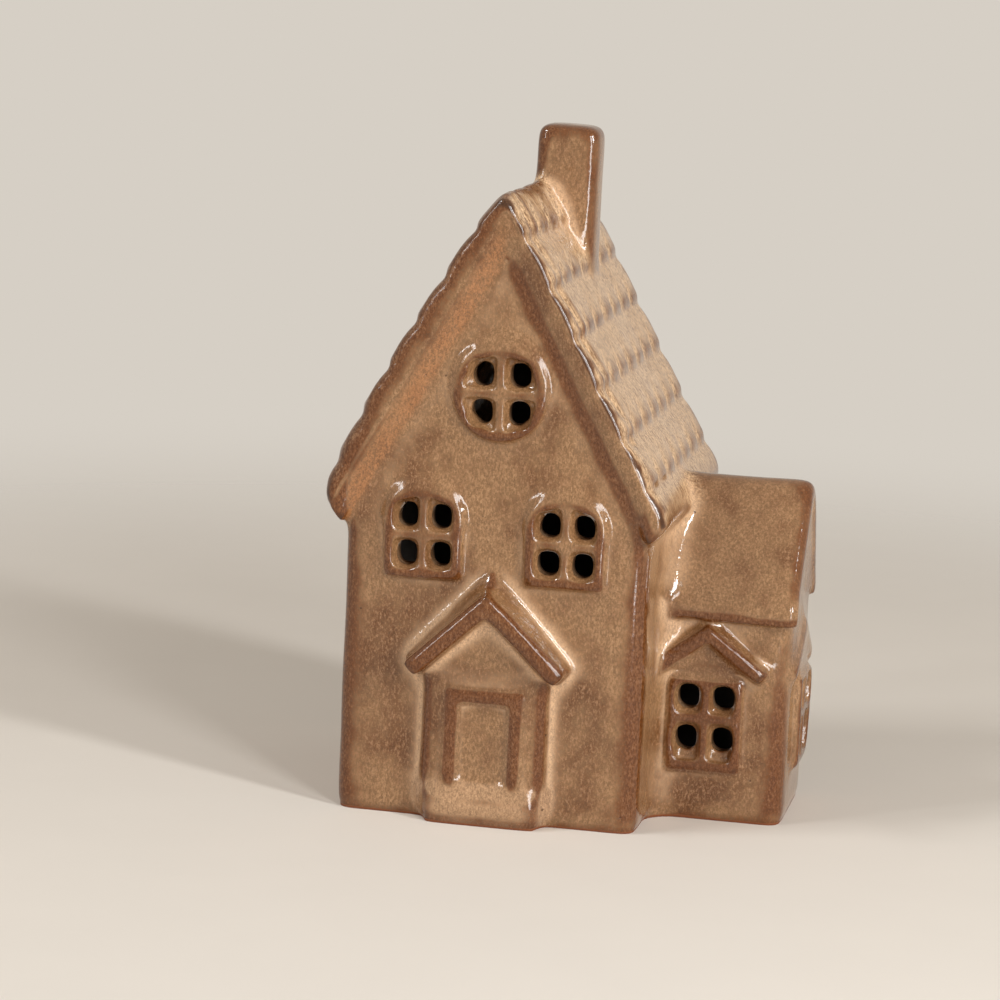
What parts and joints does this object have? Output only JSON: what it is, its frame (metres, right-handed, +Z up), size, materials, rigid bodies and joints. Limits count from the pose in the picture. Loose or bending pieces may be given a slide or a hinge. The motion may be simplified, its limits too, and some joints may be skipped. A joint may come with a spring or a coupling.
{
  "type": "tealight house",
  "caption": "Glazed stoneware cottage with a side wing, pierced windows and a closed floor, a lantern for a tealight that goes in through an opening at the back.",
  "frame": {"origin": "middle of the house's bounding box on the surface it stands on", "axes": "+Z up, the front with the door towards -Y, the wing towards +X"},
  "size_m": [0.1092, 0.0886, 0.1584],
  "materials": {
    "stoneware": "glossy beige glaze breaking brown on the edges",
    "cup": "thin drawn sheet",
    "wax": "white paraffin wax",
    "wick": "waxed cotton braid",
    "sustainer": "tinned sheet"
  },
  "bodies": {
    "house": {"house_shell": "stoneware"},
    "tealight": {"tealight_cup": "cup"},
    "candle": {"tealight_wax": "wax", "wick": "wick", "wick_sustainer": "sustainer"}
  },
  "joints": [
    {"name": "tealight_slide", "type": "slide", "parent": "house", "child": "tealight", "axis": [0, 1, 0], "range_m": [0, 0.07]},
    {"name": "candle_lift", "type": "slide", "parent": "tealight", "child": "candle", "axis": [0, 0, 1], "range_m": [0, 0.016]}
  ]
}
